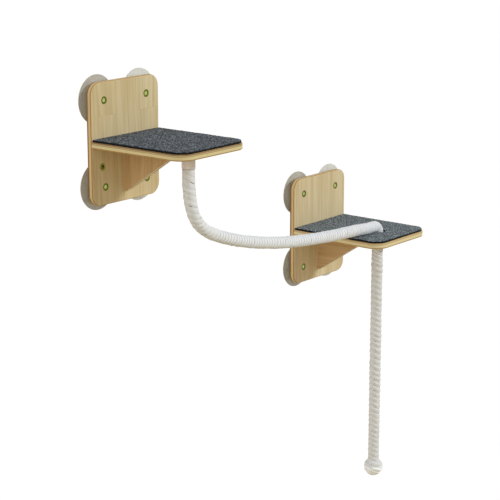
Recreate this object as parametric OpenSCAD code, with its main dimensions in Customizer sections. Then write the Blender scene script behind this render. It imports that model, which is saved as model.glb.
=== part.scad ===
// Two plywood cat steps on suction cups for a window, joined by a wound climbing rope.
// Origin: on the glass, behind the centre of the upper back panel. +X along the window, +Y out through
// the glass, +Z up.

/* [Back panel] */
// Width of the back panel and of the shelf
step_w = 200; // [190:1:230]
// Height of the back panel
panel_h = 250; // [240:1:290]
// Thickness of the back panel
panel_t = 13; // [12:0.5:18]
// Radius of the panel's corners
panel_corner_r = 25; // [15:1:30]
// Rounding of the boards' long edges
edge_r = 2.5; // [1:0.5:4]

/* [Shelf] */
// Reach of the shelf from the panel's front face
shelf_depth = 240; // [225:1:270]
// Thickness of the shelf board
shelf_t = 13; // [12:0.5:18]
// Radius of the shelf's front corners
shelf_corner_r = 32; // [20:1:45]
// Height of the shelf's underside above the panel's lower edge
shelf_foot = 120; // [112:1:135]

/* [Carpet mat] */
// Thickness of the carpet mat
mat_t = 5; // [3:0.5:8]
// Bare border of wood round the mat
mat_inset = 2; // [1:0.5:8]
// Rounding of the mat's edges
mat_edge_r = 1.2; // [0.5:0.1:1.4]

/* [Gusset] */
// Thickness of the gusset
gusset_t = 13; // [12:0.5:18]
// Reach of the gusset under the shelf
gusset_reach = 140; // [120:1:144]
// Height of the gusset along the panel
gusset_drop = 98; // [85:1:105]
// Height of the gusset's nose
gusset_nose = 10; // [8:1:16]
// Level land at the gusset's foot
gusset_land = 7; // [5:1:12]
// Radius of the gusset's corners
gusset_corner_r = 4; // [2:0.5:4.5]

/* [Suction cups] */
// Diameter of a suction cup
cup_d = 100; // [90:1:104]
// Distance from the panel's side to a cup's axis
cup_inset_x = 38; // [34:1:42]
// Distance from the panel's upper or lower edge to a cup's axis
cup_inset_z = 37; // [34:1:42]
// Distance from the glass to the panel's back
cup_stand = 10; // [9:0.5:14]
// Flat sealing band at the cup's rim
cup_lip_w = 5; // [3:0.5:8]
// Thickness of the cup at its rim
cup_lip_t = 1.2; // [0.8:0.1:2]
// Depth of the cup's hollow
cup_hollow = 3; // [2:0.25:3.5]
// Diameter of the cup's hub
hub_d = 30; // [26:1:36]
// Thread diameter of the cup's stud
stud_d = 8; // [6:1:8]
// Diameter of the stud's moulded-in head
stud_head_d = 18; // [14:1:22]
// Thickness of the stud's head
stud_head_t = 2.5; // [2:0.25:3]
// Vinyl between the cup's hollow and the stud's head
stud_skin = 1; // [0.6:0.1:1.5]

/* [Threaded inserts] */
// Outer diameter of the insert's barrel
insert_d = 12; // [11:0.5:13]
// Length of the insert
insert_len = 12; // [10:0.5:12]
// Diameter of the insert's flange
flange_d = 16; // [15:0.5:19]
// Thickness of the insert's flange
flange_t = 1.5; // [1:0.25:2.5]
// Width across flats of the insert's key socket
key_af = 9; // [8.5:0.25:10]
// Depth of the key socket
key_depth = 5; // [3:0.5:6]
// Distance from the panel's side to a spare insert
spare_inset_x = 30; // [26:1:40]
// Height of a spare insert above the panel's lower edge
spare_z = 79; // [65:1:85]

/* [Screws] */
// Shank diameter of the wood screws
screw_d = 4; // [3.5:0.5:5]
// Head diameter of the wood screws
screw_head_d = 8; // [7:0.5:9]
// Length of the screws through the panel into the shelf and the gusset
panel_screw_len = 40; // [35:1:50]
// Length of the screws through the shelf into the gusset
shelf_screw_len = 35; // [28:1:36]
// Distance from the shelf's side to an outer panel screw
screw_inset = 30; // [20:1:45]
// Distance from the gusset's upper edge, and from its foot, to a screw through the panel
gusset_screw_inset = 27; // [20:1:32]
// Distance from the panel to the nearer screw through the shelf
brace_near = 35; // [25:1:45]
// Distance from the gusset's nose to the farther screw through the shelf
brace_far = 42; // [38:1:55]

/* [Rope] */
// Outer diameter of the wound rope
rope_d = 26; // [22:1:28]
// Gap round the rope in the lower shelf's hole
rope_hole_gap = 4; // [3:0.5:8]
// Gap between the gusset's nose and the rope
rope_clear = 14; // [6:1:24]
// Height of the collar under the upper shelf
collar_h = 35; // [28:1:44]
// Thread diameter of the screw that holds the collar
anchor_d = 6; // [5:1:8]
// Length of the screw that holds the collar
anchor_len = 35; // [28:1:44]
// Distance along the rope from one turn of its winding to the next
turn_pitch = 10; // [8:0.5:14]
// Depth of the groove between two turns
turn_groove = 1.2; // [0.5:0.1:2]
// Length of the rope that hangs under the lower shelf, without its knot
tail_len = 543; // [400:1:600]
// Height of the end knot
knot_h = 40; // [34:1:48]
// Diameter of the cord wound round the end knot
knot_cord_d = 7.5; // [6:0.5:7.5]

/* [Layout] */
// Distance along the window from the upper step to the lower one
lower_x = 665; // [650:1:700]
// Drop from the upper step to the lower one
lower_drop = 299; // [290:1:310]

/* [Hidden] */
$fn = 96;

pine = [0.87, 0.76, 0.58];
charcoal = [0.38, 0.39, 0.38];
clear_vinyl = [0.86, 0.87, 0.85, 0.6];
yellow_zinc = [0.66, 0.64, 0.33];
zinc = [0.75, 0.76, 0.76];
cotton = [0.88, 0.88, 0.85];
cotton_shade = [0.72, 0.69, 0.65];

// Places that every piece of a step shares, from the centre of its panel on the glass
panel_back_y = -cup_stand;
panel_front_y = -cup_stand - panel_t;
panel_foot_z = -panel_h / 2;
shelf_under_z = panel_foot_z + shelf_foot;
shelf_top_z = shelf_under_z + shelf_t;
mat_top_z = shelf_top_z + mat_t;
cup_x = step_w / 2 - cup_inset_x;
cup_z = panel_h / 2 - cup_inset_z;
rope_y = panel_front_y - gusset_reach - rope_clear - rope_d / 2;
rope_hole_d = rope_d + 2 * rope_hole_gap;
slip = 0.05;
moulded_slip = 0.1;
rest_slip = 0.2;
overshoot = 1;

// Stud, from the glass towards the room
stud_head_y = cup_hollow + stud_skin;
stud_sink = 0.5;
stud_tip_y = cup_stand + panel_t - stud_sink;
cup_web = 2;
socket_fit = stud_d + 2 * slip;

// Screw places
screw_x = step_w / 2 - screw_inset;
shelf_screw_z = shelf_under_z + shelf_t / 2;
gusset_screw_zs = [shelf_under_z - gusset_screw_inset, shelf_under_z - gusset_drop + gusset_screw_inset];
brace_screw_ys = [panel_front_y - brace_near, panel_front_y - gusset_reach + brace_far];
screw_head_h = (screw_head_d - screw_d) / 2;
screw_tip = 5;
screw_point_r = 0.2;
drive_w = 0.9;
drive_depth = 1.4;

// Cross-section of a board w wide and t thick, with its edges rounded to radius e
module edge_section(w, t, e) {
    translate([-w / 2 + e, 0]) square([w - 2 * e, t]);
    translate([-w / 2, e]) square([w, t - 2 * e]);
    for (x = [-w / 2 + e, w / 2 - e], y = [e, t - e]) translate([x, y]) circle(e);
}

// Round corner of a board, with the same rounded edge
module corner_disc(r, t, e) {
    rotate_extrude() {
        square([r - e, t]);
        translate([0, e]) square([r, t - 2 * e]);
        for (y = [e, t - e]) translate([r - e, y]) circle(e);
    }
}

// A board w by l, centred, with its faces at z = 0 and z = t
module soft_plate(w, l, t, r, e) {
    translate([0, l / 2 - r, 0]) rotate([90, 0, 0]) linear_extrude(l - 2 * r) edge_section(w, t, e);
    translate([w / 2 - r, 0, 0]) rotate([90, 0, -90]) linear_extrude(w - 2 * r) edge_section(l, t, e);
    for (x = [-w / 2 + r, w / 2 - r], y = [-l / 2 + r, l / 2 - r]) translate([x, y, 0]) corner_disc(r, t, e);
}

// A board that stands out from the panel, with round front corners and a square rear edge
module shelf_plate(w, depth, t, r, e) {
    intersection() {
        translate([0, panel_front_y - depth / 2 + r, 0]) soft_plate(w, depth + 2 * r, t, r, e);
        translate([-w, panel_front_y - depth - overshoot, -overshoot]) {
            cube([2 * w, depth + overshoot, t + 2 * overshoot]);
        }
    }
}

// Countersunk wood screw: head's face at the origin, point along -Z
module screw_body(len, gap) {
    rotate_extrude() polygon([
        [0, 0], [screw_head_d / 2 + gap, 0], [screw_d / 2 + gap, -screw_head_h],
        [screw_d / 2 + gap, -len + screw_tip], [gap + screw_point_r, -len - gap], [0, -len - gap]
    ]);
}

module wood_screw(len) {
    difference() {
        screw_body(len, 0);
        for (a = [0, 90]) rotate([0, 0, a]) {
            translate([-screw_d / 2, -drive_w / 2, -drive_depth]) cube([screw_d, drive_w, 2 * drive_depth]);
        }
    }
}

module screw_hole(len) {
    screw_body(len, slip);
    cylinder(r = screw_head_d / 2 + slip, h = overshoot);
}

// Where each kind of screw goes, with -Z turned along the screw
module at_shelf_screws() {
    for (x = [-screw_x, 0, screw_x]) translate([x, panel_back_y, shelf_screw_z]) rotate([-90, 0, 0]) children();
}

module at_gusset_screws() {
    for (z = gusset_screw_zs) translate([0, panel_back_y, z]) rotate([-90, 0, 0]) children();
}

module at_brace_screws() {
    for (y = brace_screw_ys) translate([0, y, shelf_top_z]) children();
}

module at_cups() {
    for (x = [-cup_x, cup_x], z = [-cup_z, cup_z]) translate([x, 0, z]) rotate([90, 0, 0]) children();
}

module at_spares() {
    for (x = [-1, 1]) {
        translate([x * (step_w / 2 - spare_inset_x), 0, panel_foot_z + spare_z]) rotate([90, 0, 0]) children();
    }
}

// Threaded insert, from the glass towards the room along +Z
module insert_outline(gap) {
    front = cup_stand + panel_t;
    translate([0, 0, front - insert_len - gap]) cylinder(d = insert_d + 2 * gap, h = insert_len + gap);
    translate([0, 0, front - flange_t - gap]) cylinder(d = flange_d + 2 * gap, h = flange_t + gap);
}

module insert_nut() {
    front = cup_stand + panel_t;
    difference() {
        insert_outline(0);
        translate([0, 0, front - insert_len - overshoot]) cylinder(d = socket_fit, h = insert_len + 2 * overshoot);
        translate([0, 0, front - key_depth]) cylinder(d = key_af / cos(30), h = key_depth + overshoot, $fn = 6);
    }
}

module insert_hole() {
    insert_outline(slip);
    translate([0, 0, cup_stand - overshoot]) cylinder(d = insert_d + 2 * slip, h = panel_t);
    translate([0, 0, cup_stand + panel_t - slip]) cylinder(d = flange_d + 2 * slip, h = overshoot);
}

// The board that the cups hold; the spare inserts' holes, in the upper panel only, are cut by the caller
module back_panel() {
    color(pine) difference() {
        translate([0, panel_back_y, 0]) rotate([90, 0, 0]) {
            soft_plate(step_w, panel_h, panel_t, panel_corner_r, edge_r);
        }
        at_cups() insert_hole();
        at_shelf_screws() screw_hole(panel_screw_len);
        at_gusset_screws() screw_hole(panel_screw_len);
        children();
    }
}

// The board that carries the cat; the rope's hole or its screw's hole is cut by the caller
module shelf_board() {
    color(pine) difference() {
        translate([0, 0, shelf_under_z]) {
            shelf_plate(step_w, shelf_depth, shelf_t, shelf_corner_r, edge_r);
        }
        at_shelf_screws() screw_hole(panel_screw_len);
        at_brace_screws() screw_hole(shelf_screw_len);
        children();
    }
}

module carpet_mat() {
    color(charcoal) difference() {
        translate([0, 0, shelf_top_z]) {
            shelf_plate(step_w - 2 * mat_inset, shelf_depth - mat_inset, mat_t,
                shelf_corner_r - mat_inset, mat_edge_r);
        }
        children();
    }
}

// Points of a corner turned about c with radius r, from angle a to angle b
function corner_arc(c, r, a, b, steps = 6) =
    [for (i = [0:steps]) let (t = a + (b - a) * i / steps) c + r * [cos(t), sin(t)]];

// Side view of the gusset: first number out from the panel, second down from the shelf
module gusset_profile() {
    r = gusset_corner_r;
    run = gusset_reach - gusset_land;
    rise = gusset_drop - gusset_nose;
    slope = atan2(rise, run);
    // the two lower corners are turned where the land, the slope and the nose meet
    foot = [gusset_land - r * tan(slope / 2), gusset_drop - r];
    nose = [gusset_reach - r, gusset_nose - r * (1 - sin(slope)) / cos(slope)];
    polygon(concat(
        [[0, 0], [0, gusset_drop]],
        corner_arc(foot, r, 90, 90 - slope),
        corner_arc(nose, r, 90 - slope, 0),
        [[gusset_reach, 0]]
    ));
}

module gusset() {
    color(pine) difference() {
        translate([-gusset_t / 2, panel_front_y, shelf_under_z]) rotate([0, 90, 0]) rotate([0, 0, -90]) {
            linear_extrude(gusset_t) gusset_profile();
        }
        at_gusset_screws() screw_hole(panel_screw_len);
        at_brace_screws() screw_hole(shelf_screw_len);
    }
}

// Half section of a suction cup: first number from its axis, second from the glass
function cup_inside(r) = cup_hollow * (0.5 + 0.5 * cos(180 * r / (cup_d / 2 - cup_lip_w)));
function cup_outside(r) =
    let (u = (r - hub_d / 2) / (cup_d / 2 - hub_d / 2))
    cup_lip_t + (cup_hollow + cup_web - cup_lip_t) * (0.5 + 0.5 * cos(180 * u));

module suction_cup() {
    rim_r = cup_d / 2;
    seal_r = rim_r - cup_lip_w;
    steps = 10;
    difference() {
        rotate_extrude() polygon(concat(
            [for (i = [0:steps]) let (r = seal_r * i / steps) [r, cup_inside(r)]],
            [[rim_r, 0]],
            [for (i = [0:steps]) let (r = rim_r - (rim_r - hub_d / 2) * i / steps) [r, cup_outside(r)]],
            [[hub_d / 2, cup_stand], [0, cup_stand]]
        ));
        translate([0, 0, stud_head_y - moulded_slip]) {
            cylinder(d = stud_head_d + 2 * moulded_slip, h = stud_head_t + 2 * moulded_slip);
            cylinder(d = stud_d + 2 * moulded_slip, h = cup_stand);
        }
    }
}

module one_cup(side, level) {
    color(clear_vinyl) translate([side * cup_x, 0, level * cup_z]) rotate([90, 0, 0]) suction_cup();
}

module cup_studs() {
    color(zinc) at_cups() {
        translate([0, 0, stud_head_y]) cylinder(d = stud_head_d, h = stud_head_t);
        translate([0, 0, stud_head_y]) cylinder(d = stud_d, h = stud_tip_y - stud_head_y);
    }
}

module cup_inserts() {
    color(yellow_zinc) at_cups() insert_nut();
}

module spare_inserts() {
    color(yellow_zinc) at_spares() insert_nut();
}

module shelf_screws() {
    color(zinc) at_shelf_screws() wood_screw(panel_screw_len);
}

module gusset_screws() {
    color(zinc) at_gusset_screws() wood_screw(panel_screw_len);
}

module brace_screws() {
    color(zinc) at_brace_screws() wood_screw(shelf_screw_len);
}

// Rope fastening under the upper shelf: a countersunk screw down into the collar
anchor_head_d = 2 * anchor_d;
anchor_head_h = anchor_d / 2;
anchor_key_d = 4.5;

module anchor_body(gap) {
    rotate_extrude() polygon([
        [0, 0], [anchor_head_d / 2 + gap, 0], [anchor_d / 2 + gap, -anchor_head_h],
        [anchor_d / 2 + gap, -anchor_len - gap], [0, -anchor_len - gap]
    ]);
}

module at_anchor() {
    translate([0, rope_y, shelf_top_z]) children();
}

module anchor_hole() {
    at_anchor() {
        anchor_body(slip);
        cylinder(r = anchor_head_d / 2 + slip, h = overshoot);
    }
}

module rope_anchor_screw() {
    color(zinc) at_anchor() difference() {
        anchor_body(0);
        translate([0, 0, -anchor_head_h]) cylinder(d = anchor_key_d, h = 2 * anchor_head_h, $fn = 6);
    }
}

module rope_collar() {
    lip = 1.5;
    color(cotton_shade) difference() {
        translate([0, rope_y, shelf_under_z - collar_h]) rotate_extrude() {
            square([rope_d / 2 - lip, collar_h]);
            translate([0, lip]) square([rope_d / 2, collar_h - lip]);
            translate([rope_d / 2 - lip, lip]) circle(lip);
        }
        anchor_hole();
    }
}

module rope_hole() {
    translate([0, rope_y, shelf_under_z - overshoot]) {
        cylinder(d = rope_hole_d, h = shelf_t + mat_t + 2 * overshoot);
    }
}

// Route of the free rope in the upright plane through both rope holes. It hangs from the collar, turns away
// to the right, and lies down on the lower mat.
rope_r = rope_d / 2;
sides = 8;
flat_r = rope_r * cos(180 / sides);
collar_foot_z = shelf_under_z - collar_h;
mat_line_z = mat_top_z - lower_drop + flat_r + rest_slip;
bend_r = rope_hole_d / 2;
elbow_x = lower_x - bend_r;
lying_x = elbow_x - rope_d;
plumb_run = 20;
// Points between the collar and the mat: along the window, then down from the upper shelf's underside
route_mid = [
    [1, 73], [5, 101], [13, 127], [27, 149], [48, 167], [76, 182], [110, 195], [150, 208], [195, 220],
    [245, 231], [300, 241], [360, 249], [420, 255], [480, 260], [540, 263], [585, 265.5]
];
route = concat(
    [[0, collar_foot_z], [0, collar_foot_z - plumb_run]],
    [for (p = route_mid) [p[0], shelf_under_z - p[1]]],
    [[lying_x, mat_line_z]]
);

// Smooth curve through a list of points; t counts the points passed
function curve_at(p, t) =
    let (i = min(floor(t), len(p) - 2), u = t - i,
        a = p[max(i - 1, 0)], b = p[i], c = p[i + 1], d = p[min(i + 2, len(p) - 1)])
    0.5 * (2 * b + (c - a) * u + (2 * a - 5 * b + 4 * c - d) * u * u + (3 * b - a - 3 * c + d) * u * u * u);

route_steps = 16 * (len(route) - 1);
fine_route = [for (i = [0:route_steps]) curve_at(route, i * (len(route) - 1) / route_steps)];
route_run = [for (i = 0, s = 0; i <= route_steps;
    s = s + (i < route_steps ? norm(fine_route[i + 1] - fine_route[i]) : 0), i = i + 1) s];
span_len = route_run[route_steps];
route_x = [for (i = [0:route_steps]) [route_run[i], fine_route[i][0]]];
route_z = [for (i = [0:route_steps]) [route_run[i], fine_route[i][1]]];

// The elbow: along the mat, round the edge of the hole, and down to the board's underside
elbow_turn = bend_r * PI / 2;
elbow_drop = mat_line_z - bend_r - (shelf_under_z - lower_drop);
elbow_len = rope_d + elbow_turn + elbow_drop;

// Each place on the rope is [x, z, angle of the way it runs]. The angle is read a little way to both sides
// of the place, and it is plumb at the collar and level where the rope lies down.
sight = 2;
function span_place(s) =
    let (x = lookup(s, route_x), z = lookup(s, route_z),
        ahead = min(s + sight, span_len), behind = max(s - sight, 0),
        dx = lookup(ahead, route_x) - lookup(behind, route_x),
        dz = lookup(ahead, route_z) - lookup(behind, route_z))
    [x, z, s <= 0 ? -90 : s >= span_len ? 0 : atan2(dz, dx)];

function elbow_place(s) =
    s < rope_d ? [lying_x + s, mat_line_z, 0]
    : s < rope_d + elbow_turn ?
        let (a = (s - rope_d) / bend_r * 180 / PI)
        [elbow_x + bend_r * sin(a), mat_line_z - bend_r * (1 - cos(a)), -a]
    : [lower_x, mat_line_z - bend_r - (s - rope_d - elbow_turn), -90];

function rope_ring(place, r) =
    let (across = [-sin(place[2]), cos(place[2])])
    [for (k = [0:sides - 1]) let (a = 360 * (k + 0.5) / sides)
        [place[0] + r * cos(a) * across[0], rope_y + r * sin(a), place[1] + r * cos(a) * across[1]]];

// A closed tube through rings of points, each ring with as many points as the first
module tube_through(rings) {
    n = len(rings[0]);
    last = len(rings) - 1;
    polyhedron(
        points = [for (ring = rings, p = ring) p],
        faces = concat(
            [for (k = [1:n - 2]) [0, k + 1, k]],
            [for (i = [0:last - 1], k = [0:n - 1]) let (m = (k + 1) % n) [i * n + k, i * n + m, (i + 1) * n + k]],
            [for (i = [0:last - 1], k = [0:n - 1]) let (m = (k + 1) % n) [(i + 1) * n + k, i * n + m, (i + 1) * n + m]],
            [for (k = [1:n - 2]) [last * n, last * n + k, last * n + k + 1]]
        )
    );
}

// Radius of the wound rope at a distance along it: full on each turn, less in the groove
function turn_r(i) = i % 2 == 0 ? rope_r : rope_r - turn_groove;

module rope_span() {
    turns = round(span_len / turn_pitch);
    color(cotton) tube_through(
        [for (i = [0:2 * turns]) rope_ring(span_place(span_len * i / (2 * turns)), turn_r(i))]);
}

module rope_elbow() {
    turns = round(elbow_len / turn_pitch);
    color(cotton) tube_through(
        [for (i = [0:2 * turns]) rope_ring(elbow_place(elbow_len * i / (2 * turns)), turn_r(i))]);
}

// The hanging tail swings about a line along Y; its domed top turns just under the elbow's end
swing_gap = 0.3;
tail_top_z = shelf_under_z - lower_drop - swing_gap;
pivot_z = tail_top_z - rope_r;
tail_foot_z = tail_top_z - tail_len;
dome_angles = [10:20:70];

module rope_tail() {
    straight_len = pivot_z - tail_foot_z;
    turns = round(straight_len / turn_pitch);
    color(cotton) tube_through(concat(
        [for (a = dome_angles) rope_ring([lower_x, pivot_z + rope_r * cos(a), -90], rope_r * sin(a))],
        [for (i = [0:2 * turns]) rope_ring([lower_x, pivot_z - straight_len * i / (2 * turns), -90], turn_r(i))]
    ));
}

// End knot: the rope's own domed end, with a cord wound round it from the rope down to the tip
knot_loops = 4;
loop_rings = 24;
cord_sides = 6;
knot_slip = 0.4;
wind_r = rope_r + knot_slip + knot_cord_d / 2;
ball_z = rope_r + knot_slip + knot_cord_d;
knot_foot_z = tail_foot_z - knot_h;
upright_run = knot_h - knot_cord_d / 2 - ball_z;
tip_angle = 58;
wind_run = upright_run + wind_r * tip_angle * PI / 180;

// Place of the cord's centre at a share t of the winding: radius, height, angle round the rope
function wind_place(t) =
    let (run = wind_run * t, tip = max(0, run - upright_run) / wind_r * 180 / PI)
    [wind_r * cos(tip), ball_z + max(0, upright_run - run) - wind_r * sin(tip), 360 * knot_loops * t];

function wind_centre(t) = let (w = wind_place(t)) [w[0] * cos(w[2]), w[0] * sin(w[2]), w[1]];

wind_steps = knot_loops * loop_rings;
wind_points = [for (i = [0:wind_steps]) wind_centre(i / wind_steps)];
least_gap = min([for (i = [0:wind_steps - loop_rings / 2], j = [i + loop_rings / 2:wind_steps])
    norm(wind_points[i] - wind_points[j])]) - knot_cord_d;
echo(least_gap_between_the_knot_loops_mm = least_gap);

function wind_ring(t) =
    let (w = wind_place(t))
    [for (k = [0:cord_sides - 1]) let (a = 360 * k / cord_sides, r = w[0] + knot_cord_d / 2 * cos(a))
        [r * cos(w[2]), r * sin(w[2]), w[1] + knot_cord_d / 2 * sin(a)]];

module end_knot() {
    color(cotton) translate([lower_x, rope_y, knot_foot_z]) {
        rotate_extrude() {
            translate([0, ball_z]) square([rope_r, knot_h - ball_z]);
            intersection() {
                translate([0, ball_z]) circle(rope_r);
                square([rope_r, ball_z]);
            }
        }
        tube_through([for (i = [0:wind_steps]) wind_ring(i / wind_steps)]);
    }
}

module upper() {
    children();
}

module lower() {
    translate([lower_x, 0, -lower_drop]) children();
}

upper() back_panel() at_spares() insert_hole();  // upper_back_panel
upper() shelf_board() anchor_hole();  // upper_shelf_board
upper() gusset();  // upper_gusset
upper() carpet_mat();  // upper_carpet_mat
upper() one_cup(-1, 1);  // upper_cup_top_left
upper() one_cup(1, 1);  // upper_cup_top_right
upper() one_cup(-1, -1);  // upper_cup_bottom_left
upper() one_cup(1, -1);  // upper_cup_bottom_right
upper() cup_studs();  // upper_cup_studs
upper() cup_inserts();  // upper_cup_inserts
upper() spare_inserts();  // upper_spare_inserts
upper() shelf_screws();  // upper_shelf_screws
upper() gusset_screws();  // upper_gusset_screws
upper() brace_screws();  // upper_brace_screws
lower() back_panel();  // lower_back_panel
lower() shelf_board() rope_hole();  // lower_shelf_board
lower() gusset();  // lower_gusset
lower() carpet_mat() rope_hole();  // lower_carpet_mat
lower() one_cup(-1, 1);  // lower_cup_top_left
lower() one_cup(1, 1);  // lower_cup_top_right
lower() one_cup(-1, -1);  // lower_cup_bottom_left
lower() one_cup(1, -1);  // lower_cup_bottom_right
lower() cup_studs();  // lower_cup_studs
lower() cup_inserts();  // lower_cup_inserts
lower() shelf_screws();  // lower_shelf_screws
lower() gusset_screws();  // lower_gusset_screws
lower() brace_screws();  // lower_brace_screws
rope_collar();
rope_anchor_screw();
rope_span();
rope_elbow();
rope_tail();
end_knot();
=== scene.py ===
"""Two plywood cat steps on suction cups for a window, joined by a wound climbing rope."""
import math
import random

import bpy
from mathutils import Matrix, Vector, noise


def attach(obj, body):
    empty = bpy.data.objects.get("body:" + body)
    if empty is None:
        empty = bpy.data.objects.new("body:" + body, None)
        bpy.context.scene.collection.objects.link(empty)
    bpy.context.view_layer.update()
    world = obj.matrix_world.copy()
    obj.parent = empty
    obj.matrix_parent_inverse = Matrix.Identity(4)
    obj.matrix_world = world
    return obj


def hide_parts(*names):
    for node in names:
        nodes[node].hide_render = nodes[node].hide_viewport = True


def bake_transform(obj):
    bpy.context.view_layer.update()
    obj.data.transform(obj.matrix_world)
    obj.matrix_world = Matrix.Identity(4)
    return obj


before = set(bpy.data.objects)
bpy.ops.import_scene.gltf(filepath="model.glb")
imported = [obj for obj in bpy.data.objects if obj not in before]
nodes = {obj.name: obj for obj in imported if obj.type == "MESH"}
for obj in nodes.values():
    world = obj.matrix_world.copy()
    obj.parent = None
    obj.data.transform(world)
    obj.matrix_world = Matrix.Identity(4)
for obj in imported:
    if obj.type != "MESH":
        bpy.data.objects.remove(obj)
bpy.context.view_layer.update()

# The camera stands to the left of the upper step and a little above it, with a long lens, as the
# photograph was taken. Its place comes from the straight edges of both steps.
camera_place = (-2.4325, -2.3023, 0.5870)
camera_lens = 119.45
camera_sensor = 36
camera_down = math.radians(13.82)
camera_right = math.radians(51.19)

camera_data = bpy.data.cameras.new("camera")
camera_data.lens = camera_lens
camera_data.sensor_width = camera_sensor
camera_data.clip_end = 100
camera = bpy.data.objects.new("camera", camera_data)
bpy.context.scene.collection.objects.link(camera)
camera.location = camera_place
camera.rotation_euler = (math.radians(90) - camera_down, 0, -camera_right)
bpy.context.scene.camera = camera

# Each step is a back panel, a shelf and a gusset of 13 mm pine plywood, sawn, rounded over at the
# edges, sanded and lacquered, then glued and screwed. The faces are staves of knot-free pine, glued
# side by side; the sawn edges show pale plies with darker ones between them.
steps = {"upper": (0, 0, 0), "lower": (0.665, 0, -0.299)}
board_thickness = 0.013
panel_front = -0.023
shelf_foot = -0.005
stave_width = 0.063
stave_length = 0.30
stave_edge = 0.037
stave_stagger = 0.35
stave_ends = {"upper": 0.057, "lower": 0.176}

# sizes in millimetres across the grain, along it and through the board
growth_bands = (12.5, 250, 50)
late_streaks = (3.85, 200, 16.7)
wood_fibres = (1.111, 71.4, 2)


def linear(code):
    """Linear colour, opaque, from an sRGB hex value such as C8B482."""
    channels = [int(code[i:i + 2], 16) / 255 for i in (0, 2, 4)]
    return [c / 12.92 if c <= 0.04045 else ((c + 0.055) / 1.055) ** 2.4 for c in channels] + [1]


def add_node(material, kind, inputs=None, **settings):
    """Adds a node with its settings; an input is a value, or the output that feeds it."""
    node = material.node_tree.nodes.new(kind)
    for name, value in settings.items():
        setattr(node, name, value)
    for socket, value in (inputs or {}).items():
        if isinstance(value, bpy.types.NodeSocket):
            material.node_tree.links.new(value, node.inputs[socket])
        else:
            node.inputs[socket].default_value = value
    return node


def per_metre(size):
    """How often a pattern comes back in a metre, from its real size in millimetres."""
    return round(1000 / size)


def set_stops(ramp, stops):
    """Gives a colour ramp its stops: place and colour."""
    elements = ramp.color_ramp.elements
    while len(elements) < len(stops):
        elements.new(1)
    for element, (place, code) in zip(elements, stops):
        element.position = place
        element.color = linear(code)


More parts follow.
